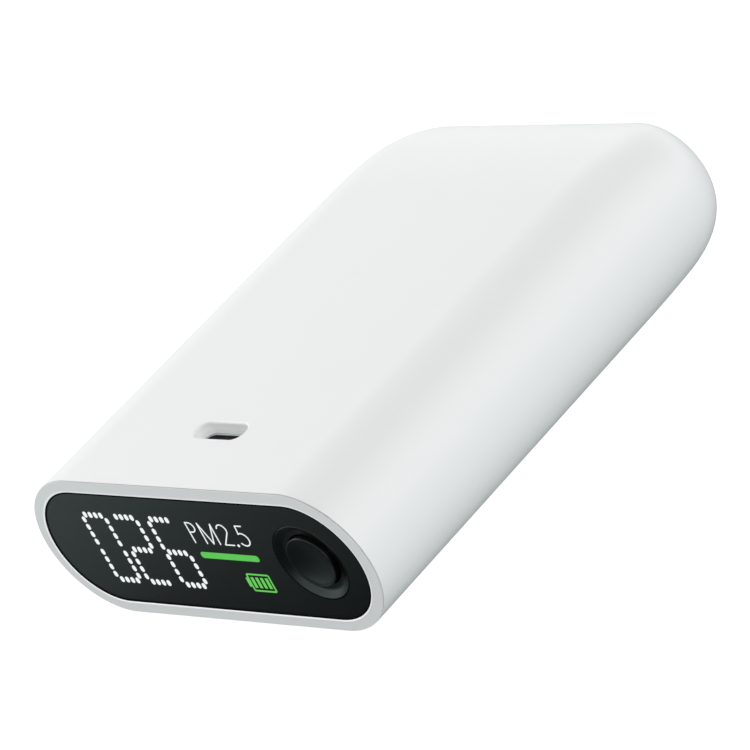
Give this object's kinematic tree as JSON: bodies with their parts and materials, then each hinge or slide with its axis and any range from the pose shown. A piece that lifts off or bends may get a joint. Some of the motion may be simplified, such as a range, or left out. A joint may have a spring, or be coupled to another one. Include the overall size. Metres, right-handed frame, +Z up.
{
  "type": "air quality monitor",
  "caption": "Hand-size rechargeable air quality monitor: white sleeve, dark display front, dished push button, charging opening, laser dust sensor with fan inside.",
  "frame": {"origin": "middle of the flat underside, at the centre of the body's length and width", "axes": "+Z up, +X to the right as seen facing the display, +Y from the display towards the rear"},
  "size_m": [0.06, 0.0816, 0.0213],
  "materials": {
    "shell_plastic": "smooth satin white moulded plastic",
    "panel_plastic": "satin near-black tinted panel",
    "tape": "thin adhesive tape",
    "inner_plastic": "unpainted moulded plastic",
    "lit_white": "white light through the panel",
    "lit_green": "green light through the panel",
    "lit_green_light": "light green light through the panel",
    "button_plastic": "satin near-black moulded plastic",
    "display_glass": "dark display glass",
    "foam": "closed-cell foam",
    "flex_film": "amber printed film",
    "socket_plastic": "cream connector resin",
    "board_laminate": "green printed board",
    "seal_rubber": "black rubber",
    "socket_steel": "tinned sheet steel, dark inside",
    "screw_steel": "zinc-plated screw steel",
    "tinned_steel": "tinned sheet steel",
    "shaft_steel": "ground steel pin",
    "mesh_steel": "perforated steel foil",
    "gold_plate": "gold-plated contact metal",
    "copper_winding": "enamelled copper winding on a steel core",
    "black_resin": "black moulded resin",
    "red_plastic": "red moulded plastic",
    "pouch_foil": "pouch cell foil",
    "wire_red": "insulated wire",
    "wire_grey": "insulated wire",
    "ferrite": "dark ferrite",
    "capacitor_ceramic": "ceramic chip body",
    "sensor_plastic": "dark moulded plastic",
    "lens_glass": "clear lens glass"
  },
  "bodies": {
    "case": {"outer_shell": "shell_plastic", "front_panel": "panel_plastic", "panel_tape": "tape", "front_frame": "inner_plastic", "lit_digits": "lit_white", "lit_label": "lit_white", "lit_level_bar": "lit_green", "lit_battery_sign": "lit_green_light", "button_ring": "button_plastic", "display_glass": "display_glass", "display_foam": "foam", "display_bracket": "inner_plastic", "display_flex": "flex_film", "display_socket": "socket_plastic", "front_board": "board_laminate", "front_screws": "screw_steel", "switch_base": "black_resin", "switch_cover": "screw_steel", "switch_dome": "gold_plate", "switch_legs": "tinned_steel", "charge_socket_shell": "socket_steel", "charge_socket_tongue": "black_resin", "charge_socket_contacts": "gold_plate", "chassis_tray": "inner_plastic", "battery_cell": "pouch_foil", "battery_tape": "tape", "battery_guard_board": "board_laminate", "battery_leads": "wire_red", "battery_socket": "socket_plastic", "main_board": "board_laminate", "main_screws": "screw_steel", "processor_chip": "black_resin", "radio_module": "tinned_steel", "charger_chip": "black_resin", "power_inductor": "ferrite", "clock_crystal": "tinned_steel", "capacitors": "capacitor_ceramic", "resistors": "black_resin", "bridge_flex": "flex_film", "bridge_sockets": "socket_plastic", "sensor_case": "sensor_plastic", "sensor_cover": "tinned_steel", "sensor_board": "board_laminate", "laser_holder": "black_resin", "laser_diode": "gold_plate", "laser_lens": "lens_glass", "photodiode": "black_resin", "beam_trap": "black_resin", "fan_volute": "sensor_plastic", "fan_axle": "shaft_steel", "fan_stator": "copper_winding", "sensor_plug": "socket_plastic", "sensor_leads": "wire_grey", "sensor_header": "socket_plastic", "panel_seal": "seal_rubber", "duct_gasket": "foam", "dust_mesh": "mesh_steel"},
    "button": {"button_cap": "button_plastic"},
    "plunger": {"switch_plunger": "red_plastic"},
    "fan": {"fan_rotor": "black_resin", "fan_magnet": "ferrite"}
  },
  "joints": [
    {"name": "button_press", "type": "slide", "parent": "case", "child": "button", "axis": [0, 1, 0], "range_m": [0, 0.0003], "stiffness_N_per_m": 600, "springref_m": -0.0005},
    {"name": "plunger_press", "type": "slide", "parent": "case", "child": "plunger", "axis": [0, 1, 0], "range_m": [0, 0.0003]},
    {"name": "fan_spin", "type": "hinge", "parent": "case", "child": "fan", "pos_m": [0.009, 0.01715, 0], "axis": [0, 0, 1], "continuous": true}
  ],
  "couplings": [
    {"joint": "plunger_press", "follows": "button_press", "ratio": 1}
  ]
}
